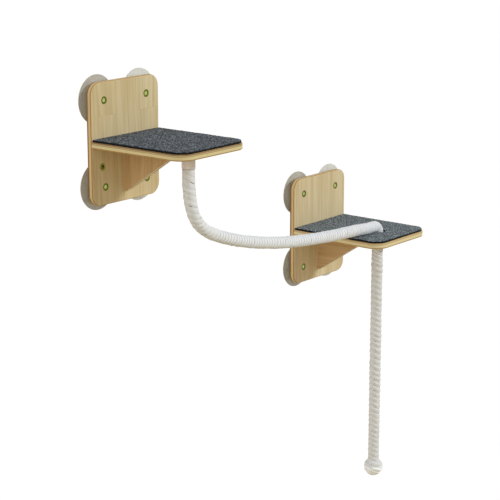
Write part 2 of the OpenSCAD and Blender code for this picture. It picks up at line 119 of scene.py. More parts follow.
def pine_plywood(name, first_face, across, along, through, pale, late, edge_plies,
                 stave_end=stave_ends["upper"]):
    """Lacquered pine plywood: pale yellow, with soft growth lines that slant a little, faint joints
    between the staves, plies on its sawn edges, and a satin surface that mirrors next to nothing.
    The grain runs along one axis of the part, and the plies are stacked through another, counted
    from the board's first face."""
    material = bpy.data.materials.new(name)
    material.use_nodes = True
    surface = material.node_tree.nodes["Principled BSDF"]
    place = add_node(material, "ShaderNodeTexCoord").outputs["Object"]
    shift = [-c for c in first_face]
    local = add_node(material, "ShaderNodeMapping", {"Vector": place, "Location": shift})
    split = add_node(material, "ShaderNodeSeparateXYZ", {0: local.outputs[0]})

    # staves glued side by side, each from lengths joined end to end; each length has its own number
    lengthwise = add_node(material, "ShaderNodeCombineXYZ", {
        "X": split.outputs[along], "Y": split.outputs[across]})
    first_joint = -stave_end - stave_stagger * stave_length
    stave_place = add_node(material, "ShaderNodeMapping", {
        "Vector": lengthwise.outputs[0], "Location": (first_joint, -stave_edge, 0)})
    staves = add_node(material, "ShaderNodeTexBrick", {
        "Vector": stave_place.outputs[0], "Color1": (0, 0, 0, 1), "Color2": (1, 1, 1, 1),
        "Mortar": (0.5, 0.5, 0.5, 1), "Scale": 1.0, "Mortar Size": 0.0003, "Mortar Smooth": 0.3,
        "Brick Width": stave_length, "Row Height": stave_width},
        offset=stave_stagger, offset_frequency=2)
    number = staves.outputs["Color"]

    # in each length the grain slants its own way, by up to 0.1 in 1, and comes from another part of
    # the log, up to 3 m away
    centred = add_node(material, "ShaderNodeMath", {0: number, 1: 0.4}, operation="SUBTRACT")
    drift = add_node(material, "ShaderNodeMath", {0: centred.outputs[0], 1: split.outputs[along]},
                     operation="MULTIPLY")
    slanted = add_node(material, "ShaderNodeMath", {0: drift.outputs[0], 1: 0.16, 2: split.outputs[across]},
                       operation="MULTIPLY_ADD")
    moved = add_node(material, "ShaderNodeMath", {0: number, 1: 3.0, 2: split.outputs[through]},
                     operation="MULTIPLY_ADD")
    board = add_node(material, "ShaderNodeCombineXYZ", {
        "X": slanted.outputs[0], "Y": split.outputs[along], "Z": moved.outputs[0]}).outputs[0]
    band_place = add_node(material, "ShaderNodeMapping", {
        "Vector": board, "Scale": [per_metre(size) for size in growth_bands]})
    bands = add_node(material, "ShaderNodeTexNoise", {
        "Vector": band_place.outputs[0], "Scale": 1.0, "Detail": 1.0, "Distortion": 0.3})
    streak_place = add_node(material, "ShaderNodeMapping", {
        "Vector": board, "Scale": [per_metre(size) for size in late_streaks]})
    streaks = add_node(material, "ShaderNodeTexNoise", {
        "Vector": streak_place.outputs[0], "Scale": 1.0, "Detail": 2.0, "Roughness": 0.5})
    streak_lines = add_node(material, "ShaderNodeMapRange", {
        "Value": streaks.outputs["Fac"], "From Min": 0.48, "From Max": 0.70})
    fibre_place = add_node(material, "ShaderNodeMapping", {
        "Vector": board, "Scale": [per_metre(size) for size in wood_fibres]})
    fibres = add_node(material, "ShaderNodeTexNoise", {
        "Vector": fibre_place.outputs[0], "Scale": 1.0, "Detail": 3.0, "Roughness": 0.6})
    banded = add_node(material, "ShaderNodeMath", {
        0: streak_lines.outputs[0], 1: 0.35, 2: bands.outputs["Fac"]}, operation="MULTIPLY_ADD")
    grain = add_node(material, "ShaderNodeMath", {0: fibres.outputs["Fac"], 1: 0.35, 2: banded.outputs[0]},
                     operation="MULTIPLY_ADD")
    late_share = add_node(material, "ShaderNodeMapRange", {
        "Value": grain.outputs[0], "From Min": 0.30, "From Max": 1.45})
    wood = add_node(material, "ShaderNodeMix", {
        "Factor": late_share.outputs[0], "A": linear(pale), "B": linear(late)}, data_type="RGBA")
    stave_tint = add_node(material, "ShaderNodeMix", {
        "Factor": number, "A": linear("FFFFFD"), "B": linear("F7F1E6")}, data_type="RGBA")
    jointed = add_node(material, "ShaderNodeMix", {
        "Factor": staves.outputs["Fac"], "A": stave_tint.outputs["Result"], "B": linear("EEE6D6")},
        data_type="RGBA")
    face = add_node(material, "ShaderNodeMix", {
        "Factor": 1.0, "A": wood.outputs["Result"], "B": jointed.outputs["Result"]},
        data_type="RGBA", blend_type="MULTIPLY")

    # plies, from one face of the board to the other, seen on its sawn edges; the last few hundredths
    # on either side are the face veneers
    share = add_node(material, "ShaderNodeMath", {0: split.outputs[through], 1: 1 / board_thickness},
                     operation="MULTIPLY")
    wander = add_node(material, "ShaderNodeMath", {0: fibres.outputs["Fac"], 1: 0.03, 2: share.outputs[0]},
                      operation="MULTIPLY_ADD")
    plies = add_node(material, "ShaderNodeValToRGB", {"Fac": wander.outputs[0]})
    plies.color_ramp.interpolation = "LINEAR"
    set_stops(plies, edge_plies)
    outer = add_node(material, "ShaderNodeMath", {0: share.outputs[0], 1: 0.5}, operation="SUBTRACT")
    off_middle = add_node(material, "ShaderNodeMath", {0: outer.outputs[0]}, operation="ABSOLUTE")
    veneer = add_node(material, "ShaderNodeMapRange", {
        "Value": off_middle.outputs[0], "From Min": 0.44, "From Max": 0.48})
    colour = add_node(material, "ShaderNodeMix", {
        "Factor": veneer.outputs[0], "A": plies.outputs["Color"], "B": face.outputs["Result"]},
        data_type="RGBA")
    gloss = add_node(material, "ShaderNodeMapRange", {
        "Value": fibres.outputs["Fac"], "To Min": 0.42, "To Max": 0.62})
    relief = add_node(material, "ShaderNodeBump", {
        "Height": grain.outputs[0], "Strength": 0.5, "Distance": 0.00025})
    tree = material.node_tree
    tree.links.new(colour.outputs["Result"], surface.inputs["Base Color"])
    tree.links.new(gloss.outputs[0], surface.inputs["Roughness"])
    tree.links.new(relief.outputs[0], surface.inputs["Normal"])
    surface.inputs["Specular IOR Level"].default_value = 0.05
    return material


# plies by place and colour, from 0 to 1 through the board: the panel's from its front, the shelf's
# from its underside and the gusset's from its left face
# the dark plies from 0.70 to the back are partly real plies and partly painted shade of the suction cups
# behind the panel's edge
panel_plies_and_cup_shade = [
    (0.00, "DDC9A0"), (0.05, "C29E6A"), (0.09, "A9814C"), (0.17, "AB844F"), (0.24, "DFC392"),
    (0.60, "D8BA88"), (0.70, "9A7448"), (0.85, "8C6B46"), (1.00, "7E6244")]
shelf_plies_and_mat_shade = {
    "upper": [
        (0.00, "A98250"), (0.04, "D2B27A"), (0.09, "DCBC84"), (0.12, "A97F48"), (0.19, "A97F48"),
        (0.23, "DECC9A"), (0.63, "DECC9A"), (0.67, "A98A5C"), (0.72, "A98A5C"), (0.76, "CCB488"),
        # on the upper shelf the dark band from 0.90 up, just under the mat, is painted shade of the mat's
        # edge
        (0.86, "CCB488"), (0.90, "7E6242"), (0.95, "7E6242")],
    "lower": [
        (0.00, "B08A56"), (0.04, "DCBE86"), (0.09, "E2C68E"), (0.13, "BE9660"), (0.24, "BE9660"),
        (0.28, "E6D5A8"), (0.66, "E6D5A8"), (0.71, "CEB284"), (0.84, "CEB284"), (0.92, "CEB288"),
        (1.00, "C8AE80")],
}
# the gusset's pale plies are partly real pale plies and partly a painted highlight along its sloped sawn
# edge
gusset_plies_and_highlight = [
    (0.00, "EFDCB2"), (0.04, "FFF2D2"), (0.42, "FFF2D2"), (0.49, "8E6E40"), (0.63, "8E6E40"),
    (0.70, "F7E8C6"), (1.00, "EBD9B2")]
panel_tones = {"upper": ("E8D8B5", "C6AC78"), "lower": ("EBDCBC", "CBB181")}
gusset_grain = {"upper": ("Y", "Z"), "lower": ("Z", "Y")}
for step, (x, y, z) in steps.items():
    boards = {
        "back_panel": pine_plywood(f"pine_plywood_panel_{step}", (x, panel_front, z), "X", "Z", "Y",
                                   *panel_tones[step], panel_plies_and_cup_shade, stave_ends[step]),
        "shelf_board": pine_plywood(f"pine_plywood_shelf_{step}", (x, 0, z + shelf_foot), "X", "Y", "Z",
                                    "D8BB87", "B0864E", shelf_plies_and_mat_shade[step]),
        "gusset": pine_plywood(f"pine_plywood_gusset_{step}", (x - board_thickness / 2, 0, z),
                               *gusset_grain[step], "X", "E6CBA2", "BE905B", gusset_plies_and_highlight),
    }
    for board, material in boards.items():
        nodes[f"{step}_{board}"].material_slots[0].material = material

# The wood screws are steel with bright zinc plate, pressed and rolled. The cups' studs and the
# threaded inserts in the panels are steel with yellow zinc plate, which has an olive cast, paler on
# the studs' ends and duller on the two inserts that stay empty.
plate_mottle = 2.38  # mm
turning_marks = 0.4167  # mm


def zinc_plate(name, colour, dull, roughness):
    """Plated steel: a mottled bright coat with fine turning marks, which blur what it mirrors."""
    material = bpy.data.materials.new(name)
    material.use_nodes = True
    surface = material.node_tree.nodes["Principled BSDF"]
    place = add_node(material, "ShaderNodeTexCoord").outputs["Object"]
    mottle = add_node(material, "ShaderNodeTexNoise", {
        "Vector": place, "Scale": per_metre(plate_mottle), "Detail": 3.0, "Roughness": 0.6})
    coat = add_node(material, "ShaderNodeMix", {
        "Factor": mottle.outputs["Fac"], "A": linear(colour), "B": linear(dull)}, data_type="RGBA")
    worn = add_node(material, "ShaderNodeMapRange", {
        "Value": mottle.outputs["Fac"], "To Min": roughness - 0.1, "To Max": roughness + 0.15})
    marks = add_node(material, "ShaderNodeTexNoise", {
        "Vector": place, "Scale": per_metre(turning_marks), "Detail": 1.0})
    relief = add_node(material, "ShaderNodeBump", {
        "Height": marks.outputs["Fac"], "Strength": 0.3, "Distance": 0.00005})
    tree = material.node_tree
    tree.links.new(coat.outputs["Result"], surface.inputs["Base Color"])
    tree.links.new(worn.outputs[0], surface.inputs["Roughness"])
    tree.links.new(relief.outputs[0], surface.inputs["Normal"])
    surface.inputs["Metallic"].default_value = 1.0
    return material


bright_zinc = zinc_plate("bright_zinc_plate", "D6D9DA", "B4B7B8", 0.32)
yellow_zinc = zinc_plate("yellow_zinc_plate", "76802C", "4E571A", 0.36)
worn_zinc = zinc_plate("worn_yellow_zinc_plate", "B8B458", "8E8A40", 0.50)
pale_zinc = zinc_plate("pale_yellow_zinc_plate", "C3CB84", "A0AA58", 0.36)
for step in steps:
    for fastener in ("shelf_screws", "gusset_screws", "brace_screws"):
        nodes[f"{step}_{fastener}"].material_slots[0].material = bright_zinc
    nodes[f"{step}_cup_studs"].material_slots[0].material = pale_zinc
    nodes[f"{step}_cup_inserts"].material_slots[0].material = yellow_zinc
nodes["upper_spare_inserts"].material_slots[0].material = worn_zinc
nodes["rope_anchor_screw"].material_slots[0].material = bright_zinc

# Suction cups: soft clear vinyl, injection moulded in one piece round the head of the stud. Each is
# a shallow dish with a flat sealing band at its rim and a thick hub against the panel's back.
cup_radius = 0.050
cup_band = 0.005
cup_lip = 0.0012
cup_hollow = 0.003
cup_web = 0.002
cup_height = 0.010
rim_round = 0.0004
hub_radius = 0.015
hub_fillet = 0.001
hub_round = 0.0008
profile_steps = 12
cup_sides = 72
weld_within = 0.00002
crease_from = math.radians(40)
cup_across = 0.062
cup_up = 0.088
flow_clouds = 16.7  # mm


def moulded_vinyl(name, clear, hazy, transmission):
    """Soft clear vinyl: part of the light goes through it, blurred, and it is cloudy where it flowed
    into the mould."""
    material = bpy.data.materials.new(name)
    material.use_nodes = True
    surface = material.node_tree.nodes["Principled BSDF"]
    place = add_node(material, "ShaderNodeTexCoord").outputs["Object"]
    flow = add_node(material, "ShaderNodeTexNoise", {
        "Vector": place, "Scale": per_metre(flow_clouds), "Detail": 2.0})
    haze = add_node(material, "ShaderNodeMix", {
        "Factor": flow.outputs["Fac"], "A": linear(clear), "B": linear(hazy)}, data_type="RGBA")
    milky = add_node(material, "ShaderNodeMapRange", {
        "Value": flow.outputs["Fac"], "To Min": 0.22, "To Max": 0.38})
    material.node_tree.links.new(haze.outputs["Result"], surface.inputs["Base Color"])
    material.node_tree.links.new(milky.outputs[0], surface.inputs["Roughness"])
    surface.inputs["IOR"].default_value = 1.53
    surface.inputs["Transmission Weight"].default_value = transmission
    return material


# the left cups get a darker, greyer copy of the vinyl and the right cups a paler, clearer one: painted
# shade on the left cups, which sit in the panel's shade, and painted light on the right ones
vinyl_painted_shade = moulded_vinyl("vinyl_moulded_shaded_copy", "D6D1C6", "C0B8A8", 0.3)
vinyl_painted_light = moulded_vinyl("vinyl_moulded_lit_copy", "F4F4EE", "E4E2D8", 0.45)


def cosine_slope(share):
    """Falls smoothly from 1 to 0 as share goes from 0 to 1."""
    return 0.5 + 0.5 * math.cos(math.pi * share)


# half of the cup's section, from the middle of the hollow round the rim to the top of the hub:
# distance from the axis, and height over the glass
seal_radius = cup_radius - cup_band
web_run = cup_radius - hub_radius - hub_fillet
web_top = cup_hollow + cup_web
shares = [i / profile_steps for i in range(profile_steps + 1)]
dish = [(seal_radius * share, cup_hollow * cosine_slope(share)) for share in shares]
dish += [(cup_radius - rim_round, 0.0), (cup_radius, rim_round), (cup_radius, cup_lip)]
dish += [(cup_radius - web_run * share, cup_lip + (web_top - cup_lip) * cosine_slope(1 - share))
         for share in shares[1:]]
dish += [(hub_radius, web_top + hub_fillet), (hub_radius, cup_height - hub_round),
         (hub_radius - hub_round, cup_height), (0.0, cup_height)]

for step, (x, y, z) in steps.items():
    for row, up in (("top", 1), ("bottom", -1)):
        for side, right in (("left", -1), ("right", 1)):
            node = f"{step}_cup_{row}_{side}"
            hub = Vector((x + right * cup_across, 0, z + up * cup_up))
            outline = [hub + Vector((r, -h, 0)) for r, h in dish]
            mesh = bpy.data.meshes.new(node)
            mesh.from_pydata(outline, [(i, i + 1) for i in range(len(outline) - 1)], [])
            cup = bpy.data.objects.new(f"vinyl_{node}", mesh)
            bpy.context.scene.collection.objects.link(cup)
            bpy.ops.object.select_all(action="DESELECT")
            cup.select_set(True)
            bpy.context.view_layer.objects.active = cup
            bpy.ops.object.mode_set(mode="EDIT")
            bpy.ops.mesh.select_all(action="SELECT")
            bpy.ops.mesh.spin(steps=cup_sides, angle=2 * math.pi, center=hub, axis=(0, 1, 0))
            bpy.ops.mesh.select_all(action="SELECT")
            bpy.ops.mesh.remove_doubles(threshold=weld_within)
            bpy.ops.mesh.normals_make_consistent(inside=False)
            bpy.ops.object.mode_set(mode="OBJECT")
            bpy.ops.object.shade_smooth_by_angle(angle=crease_from)
            mesh.materials.append(vinyl_painted_light if right > 0 else vinyl_painted_shade)
            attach(cup, "steps")
            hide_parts(node)

# Mats: needle-punched carpet of grey and black fibres on a black backing, 5 mm thick, die cut a
# little smaller than the shelf and glued down. The lower mat has a punched hole for the rope.
mat_width = 0.196
mat_depth = 0.238
mat_thickness = 0.005
mat_corner = 0.030
mat_corner_parts = 10
mat_foot = shelf_foot + board_thickness
mat_hole_radius = 0.017
mat_hole_sides = 64
mat_mesh = 0.0017
mat_relief = (("tufts", 0.0045, 0.0012), ("lie", 0.03, 0.0006))  # name, size and height
rope_y = -0.190
fibre_clumps = 2.94  # mm
loose_fibres = 0.6667  # mm


def needle_felt(name, fibre_tones):
    """Matt carpet: clumps of grey and black fibres on top, and the black backing at its cut edge."""
    material = bpy.data.materials.new(name)
    material.use_nodes = True
    surface = material.node_tree.nodes["Principled BSDF"]
    place = add_node(material, "ShaderNodeTexCoord").outputs["Object"]
    tufts = add_node(material, "ShaderNodeTexNoise", {
        "Vector": place, "Scale": per_metre(fibre_clumps), "Detail": 2.0, "Roughness": 0.7})
    tones = add_node(material, "ShaderNodeValToRGB", {"Fac": tufts.outputs["Fac"]})
    set_stops(tones, fibre_tones)
    threads = add_node(material, "ShaderNodeTexNoise", {
        "Vector": place, "Scale": per_metre(loose_fibres), "Detail": 3.0, "Roughness": 0.7})
    fuzz = add_node(material, "ShaderNodeBump", {
        "Height": threads.outputs["Fac"], "Strength": 0.9, "Distance": 0.0006})
    facing = add_node(material, "ShaderNodeSeparateXYZ", {
        0: add_node(material, "ShaderNodeNewGeometry").outputs["Normal"]})
    top_side = add_node(material, "ShaderNodeMapRange", {
        "Value": facing.outputs["Z"], "From Min": 0.45, "From Max": 0.88})
    backed = add_node(material, "ShaderNodeMix", {
        "Factor": top_side.outputs[0], "A": linear("080707"), "B": tones.outputs["Color"]},
        data_type="RGBA")
    material.node_tree.links.new(backed.outputs["Result"], surface.inputs["Base Color"])
    material.node_tree.links.new(fuzz.outputs[0], surface.inputs["Normal"])
    surface.inputs["Roughness"].default_value = 0.95
    surface.inputs["Specular IOR Level"].default_value = 0.15
    surface.inputs["Sheen Weight"].default_value = 0.06
    surface.inputs["Sheen Roughness"].default_value = 0.6
    return material


carpets = {
    "upper": needle_felt("needle_punched_carpet", [
        (0.38, "0B0E12"), (0.45, "171A20"), (0.50, "2A2F36"), (0.55, "4E555D"), (0.61, "8C959F")]),
    "lower": needle_felt("needle_punched_carpet_paler", [
        (0.38, "262B2D"), (0.45, "394043"), (0.50, "505A5E"), (0.55, "727C82"), (0.61, "A6B0B6")]),
}

for step, (x, y, z) in steps.items():
    middle = (x, panel_front - mat_depth / 2, z + mat_foot)
    bpy.ops.object.select_all(action="DESELECT")
    bpy.ops.mesh.primitive_plane_add(size=1, location=middle)
    mat = bpy.context.object
    mat.name = f"felt_mat_{step}"
    mat.scale = (mat_width, mat_depth, 1)
    bpy.ops.object.transform_apply(location=True, rotation=True, scale=True)
    bpy.ops.object.mode_set(mode="EDIT")
    bpy.ops.mesh.select_mode(type="VERT")
    bpy.ops.mesh.select_all(action="DESELECT")
    bpy.ops.object.mode_set(mode="OBJECT")
    for vertex in mat.data.vertices:
        vertex.select = vertex.co.y < middle[1]
    bpy.ops.object.mode_set(mode="EDIT")
    bpy.ops.mesh.bevel(offset=mat_corner, segments=mat_corner_parts, affect="VERTICES")
    bpy.ops.mesh.select_all(action="SELECT")
    bpy.ops.mesh.extrude_region_move(TRANSFORM_OT_translate={"value": (0, 0, mat_thickness)})
    bpy.ops.mesh.select_all(action="SELECT")
    bpy.ops.mesh.normals_make_consistent(inside=False)
    bpy.ops.object.mode_set(mode="OBJECT")
    if step == "lower":
        bpy.ops.object.select_all(action="DESELECT")
        bpy.ops.mesh.primitive_cylinder_add(vertices=mat_hole_sides, radius=mat_hole_radius,
                                            depth=4 * mat_thickness, location=(x, rope_y, middle[2]))
        punch = bpy.context.object
        bpy.context.view_layer.objects.active = mat
        cut = mat.modifiers.new("rope hole", "BOOLEAN")
        cut.object = punch
        cut.solver = "EXACT"
        bpy.ops.object.modifier_apply(modifier=cut.name)
        bpy.data.objects.remove(punch)
    bpy.ops.object.select_all(action="DESELECT")
    mat.select_set(True)
    bpy.context.view_layer.objects.active = mat
    even = mat.modifiers.new("even faces", "REMESH")
    even.mode = "VOXEL"
    even.voxel_size = mat_mesh
    bpy.ops.object.modifier_apply(modifier=even.name)
    for name, grain_size, height in mat_relief:
        pattern = bpy.data.textures.new(f"felt_{name}", "CLOUDS")
        pattern.noise_scale = grain_size
        lumps = mat.modifiers.new(name, "DISPLACE")
        lumps.texture = pattern
        lumps.strength = height
        lumps.mid_level = 0.5
        bpy.ops.object.modifier_apply(modifier=lumps.name)
    bpy.ops.object.shade_smooth()
    mat.data.materials.clear()
    mat.data.materials.append(carpets[step])
    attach(mat, "steps")
    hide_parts(f"{step}_carpet_mat")

# Climbing rope: a white cotton cord wound turn by turn round a flexible core, 26 mm over all. The span
# hangs from the collar, sags away to the right and lies down on the lower mat; the elbow lies there
# and bends down through the board; the tail hangs free and ends in a knot.
rope_radius = 0.013
ring_step = 0.001
rope_sides = 40
strands_round = 26
strand_slant = 2.2
span_parts = 16
collar_foot = -0.040
elbow_radius = 0.017
lying_length = 0.026
hole_x = 0.665
mat_line = -0.27379
board_foot = -0.304
tail_foot = -0.8473

# the middle of the span, in the upright plane that holds the whole rope: distance along the window
# and height
span_points = [
    (0, collar_foot), (0, -0.060), (0.001, -0.078), (0.005, -0.106), (0.013, -0.132), (0.027, -0.154),
    (0.048, -0.172), (0.076, -0.187), (0.110, -0.200), (0.150, -0.213), (0.195, -0.225), (0.245, -0.236),
    (0.300, -0.246), (0.360, -0.254), (0.420, -0.260), (0.480, -0.265), (0.540, -0.268), (0.585, -0.2705),
    (0.622, mat_line)]


def smooth_line(points, parts):
    """A smooth curve through the points, with the same number of parts between each two."""
    line = []
    for i in range(len(points) - 1):
        a, b, c, d = (Vector(points[min(max(j, 0), len(points) - 1)]) for j in (i - 1, i, i + 1, i + 2))
        for u in (k / parts for k in range(parts)):
            line.append(0.5 * (2 * b + (c - a) * u + (2 * a - 5 * b + 4 * c - d) * u ** 2
                               + (3 * b - a - 3 * c + d) * u ** 3))
    return line + [Vector(points[-1])]


def even_steps(line, gap):
    """Points along the line, about one gap apart."""
    runs = [0.0]
    for a, b in zip(line, line[1:]):
        runs.append(runs[-1] + (b - a).length)
    count = round(runs[-1] / gap)
    points, i = [], 0
    for k in range(count + 1):
        run = runs[-1] * k / count
        while i < len(runs) - 2 and runs[i + 1] < run:
            i += 1
        points.append(line[i].lerp(line[i + 1], (run - runs[i]) / (runs[i + 1] - runs[i])))
    return points


# the elbow's quarter turn down into the hole
bend = [(hole_x - elbow_radius + elbow_radius * math.sin(a), mat_line - elbow_radius * (1 - math.cos(a)))
        for a in (math.radians(3 * i) for i in range(31))]
span_line = even_steps(smooth_line(span_points, span_parts), ring_step)
elbow_line = even_steps([Vector((hole_x - elbow_radius - lying_length, mat_line))]
                        + [Vector(p) for p in bend] + [Vector((hole_x, board_foot))], ring_step)
tail_line = even_steps([Vector((hole_x, board_foot)), Vector((hole_x, tail_foot))], ring_step)
rope_line = span_line + elbow_line[1:] + tail_line[1:]
elbow_start = len(span_line) - 1
tail_start = elbow_start + len(elbow_line) - 1

# metres down the rope, with the width of a turn there, how steeply the turns lean, how deep the
# groove between them is and how far each turn swells
winding = [
    (0.000, 0.0130, 0.40, 0.0001, 0.0003), (0.150, 0.0125, 0.40, 0.0001, 0.0004),
    (0.180, 0.0100, 0.10, 0.0002, 0.0002), (0.230, 0.0088, 0.06, 0.0006, 0.0002),
    (0.430, 0.0088, 0.04, 0.0009, 0.0001), (0.460, 0.0088, 0.00, 0.0013, 0.0001),
    (0.640, 0.0086, 0.00, 0.0013, 0.0001), (0.670, 0.0062, 0.00, 0.0008, 0.0001),
    (0.735, 0.0060, 0.00, 0.0006, 0.0000), (0.796, 0.0060, 0.00, 0.0006, 0.0000),
    (0.802, 0.0090, 0.50, 0.0007, 0.0002), (0.850, 0.0090, 0.50, 0.0007, 0.0002),
    (0.862, 0.0125, 0.32, 0.0002, 0.0006), (1.370, 0.0125, 0.32, 0.0002, 0.0006)]
# the turns are frayed down to the first of these lengths, stand apart down to the second, and lie
# close from there on
open_from, open_to = 0.190, 0.855
lean_side = math.radians(218.8)
# how unevenly the cord was wound, and how far its fluff stands out
width_drift = 0.22
drift_scale = 45
fluff_height = 0.00030
fluff_scale = 140
fluff_round = 2.2
most_turns = 400
random.seed(7)
turn_swell = [random.uniform(-0.0005, 0.0004) for _ in range(most_turns)]


def winding_at(run):
    """Width of a turn, its lean, its groove and its swell at a length down the rope."""
    for a, b in zip(winding, winding[1:]):
        if run <= b[0]:
            share = (run - a[0]) / (b[0] - a[0])
            return [low + share * (high - low) for low, high in zip(a[1:], b[1:])]
    return winding[-1][1:]


# each ring of the rope: centre, way it runs, radius, turns of cord so far, their lean, groove and swell
rope_rings = []
turns = 0.0
for i, point in enumerate(rope_line):
    before, after = rope_line[max(i - 1, 0)], rope_line[min(i + 1, len(rope_line) - 1)]
    width, lean, groove, swell = winding_at(i * ring_step)
    rope_rings.append((Vector((point.x, rope_y, point.y)), (after - before).normalized(), rope_radius,
                       turns, lean, groove, swell))
    drift = noise.noise(Vector((i * ring_step * drift_scale, 0.5, 0.5)))
    turns += ring_step / width * (1 + width_drift * drift)


def turn_place(ring, angle):
    """Turns of cord counted along the rope at a point of a ring; a whole number is a groove."""
    return ring[3] - angle / (2 * math.pi) - ring[4] * math.sin(angle - lean_side)


def wound_tube(name, rings):
    """A closed tube through the rings, with the winding in relief."""
    points, faces, uvs = [], [], []
    for ring in rings:
        centre, way, radius, _, _, groove, swell = ring
        across = Vector((-way.y, 0, way.x))
        for k in range(rope_sides):
            angle = 2 * math.pi * k / rope_sides
            turn = turn_place(ring, angle)
            share = turn - math.floor(turn)
            own = turn_swell[int(math.floor(turn)) % len(turn_swell)] * math.sin(math.pi * share)
            round_top = swell * math.cos(2 * math.pi * (share - 0.5))
            relief = own + round_top - groove * (1 - math.sin(math.pi * share) ** 0.5)
            round_place = Vector((math.cos(angle), math.sin(angle), 0)) * fluff_round
            fluff = fluff_height * noise.noise(centre * fluff_scale + round_place)
            reach = radius * (1 + (relief + fluff) / rope_radius)
            outward = math.cos(angle) * across + math.sin(angle) * Vector((0, 1, 0))
            points.append(centre + reach * outward)
    for i in range(len(rings) - 1):
        for k in range(rope_sides):
            m = (k + 1) % rope_sides
            a, b = i * rope_sides, (i + 1) * rope_sides
            faces.append((a + k, a + m, b + m, b + k))
            for ring, j in ((rings[i], k), (rings[i], k + 1), (rings[i + 1], k + 1), (rings[i + 1], k)):
                uvs.append((j / rope_sides, turn_place(ring, 2 * math.pi * j / rope_sides)))
    faces.append(tuple(reversed(range(rope_sides))))
    faces.append(tuple(range(len(points) - rope_sides, len(points))))
    uvs += [(0, 0)] * (2 * rope_sides)
    mesh = bpy.data.meshes.new(name)
    mesh.from_pydata(points, [], faces)
    layer = mesh.uv_layers.new(name="winding")
    for loop, uv in zip(layer.data, uvs):
        loop.uv = uv
    tube = bpy.data.objects.new(name, mesh)
    bpy.context.scene.collection.objects.link(tube)
    bpy.ops.object.select_all(action="DESELECT")
    tube.select_set(True)
    bpy.context.view_layer.objects.active = tube
    bpy.ops.object.mode_set(mode="EDIT")
    bpy.ops.mesh.select_all(action="SELECT")
    bpy.ops.mesh.normals_make_consistent(inside=False)
    bpy.ops.object.mode_set(mode="OBJECT")
    bpy.ops.object.shade_smooth()
    return tube


yarns = 1.111  # mm
soiled_patches = 11.1  # mm
gap_spacing = 15.4  # mm


def cotton_cord(name, clean, soiled, shade, strands, closed):
    """Twisted cotton cord, matt and a little fluffy: its strands cross each turn at a slant, and the
    grooves are darkened with painted shade. Here and there a dark slit of painted shade stands for two
    turns parting; the higher closed is, the fewer slits."""
    material = bpy.data.materials.new(name)
    material.use_nodes = True
    surface = material.node_tree.nodes["Principled BSDF"]
    coordinates = add_node(material, "ShaderNodeTexCoord")
    split = add_node(material, "ShaderNodeSeparateXYZ", {0: coordinates.outputs["UV"]})
    share = add_node(material, "ShaderNodeMath", {0: split.outputs["Y"]}, operation="FRACT")
    middle = add_node(material, "ShaderNodeMath", {0: share.outputs[0], 1: 0.5}, operation="SUBTRACT")
    off_middle = add_node(material, "ShaderNodeMath", {0: middle.outputs[0]}, operation="ABSOLUTE")
    groove = add_node(material, "ShaderNodeMapRange", {
        "Value": off_middle.outputs[0], "From Min": 0.34, "From Max": 0.5})
    leaning = add_node(material, "ShaderNodeMath", {
        0: share.outputs[0], 1: strand_slant}, operation="MULTIPLY")
    twist = add_node(material, "ShaderNodeMath", {
        0: split.outputs["X"], 1: strands, 2: leaning.outputs[0]}, operation="MULTIPLY_ADD")
    wave = add_node(material, "ShaderNodeMath", {0: twist.outputs[0], 1: 2 * math.pi}, operation="MULTIPLY")
    strand = add_node(material, "ShaderNodeMath", {0: wave.outputs[0]}, operation="SINE")
    yarn = add_node(material, "ShaderNodeTexNoise", {
        "Vector": coordinates.outputs["Object"], "Scale": per_metre(yarns), "Detail": 4.0,
        "Roughness": 0.7})
    patch = add_node(material, "ShaderNodeTexNoise", {
        "Vector": coordinates.outputs["Object"], "Scale": per_metre(soiled_patches), "Detail": 2.0})
    tone = add_node(material, "ShaderNodeMix", {
        "Factor": patch.outputs["Fac"], "A": linear(clean), "B": linear(soiled)}, data_type="RGBA")
    # painted shade in the grooves, and below it dark slits of painted shade where turns seem to part
    shaded = add_node(material, "ShaderNodeMix", {
        "Factor": groove.outputs[0], "A": tone.outputs["Result"], "B": linear(shade)}, data_type="RGBA")
    parting = add_node(material, "ShaderNodeTexNoise", {
        "Vector": coordinates.outputs["Object"], "Scale": per_metre(gap_spacing), "Detail": 1.0})
    apart = add_node(material, "ShaderNodeMapRange", {
        "Value": parting.outputs["Fac"], "From Min": closed, "From Max": closed + 0.04})
    deepest = add_node(material, "ShaderNodeMapRange", {
        "Value": off_middle.outputs[0], "From Min": 0.44, "From Max": 0.48})
    painted_slit_shade = add_node(material, "ShaderNodeMath", {
        0: apart.outputs[0], 1: deepest.outputs[0]}, operation="MULTIPLY")
    slit_shaded_tone = add_node(material, "ShaderNodeMix", {
        "Factor": painted_slit_shade.outputs[0], "A": shaded.outputs["Result"], "B": linear("4A4743")}, data_type="RGBA")
    height = add_node(material, "ShaderNodeMath", {0: strand.outputs[0], 1: 0.35, 2: yarn.outputs["Fac"]},
                      operation="MULTIPLY_ADD")
    relief = add_node(material, "ShaderNodeBump", {
        "Height": height.outputs[0], "Strength": 0.5, "Distance": 0.0004})
    material.node_tree.links.new(slit_shaded_tone.outputs["Result"], surface.inputs["Base Color"])
    material.node_tree.links.new(relief.outputs[0], surface.inputs["Normal"])
    surface.inputs["Roughness"].default_value = 0.9
    surface.inputs["Specular IOR Level"].default_value = 0.2
    surface.inputs["Sheen Weight"].default_value = 0.25
    surface.inputs["Sheen Roughness"].default_value = 0.5
    return material


parted_cotton = cotton_cord(
    "white_cotton_open_turns", "F4F4F7", "EBEBEE", "B8B6B6", strands_round, 0.66)
close_cotton = cotton_cord(
    "white_cotton_close_turns", "E8E7E7", "DEDDDB", "D4D2CF", strands_round, 0.68)
frayed_cotton = cotton_cord(
    "white_cotton_frayed_turns", "F2F2F5", "E9E9EC", "DCDBDB", strands_round, 0.60)

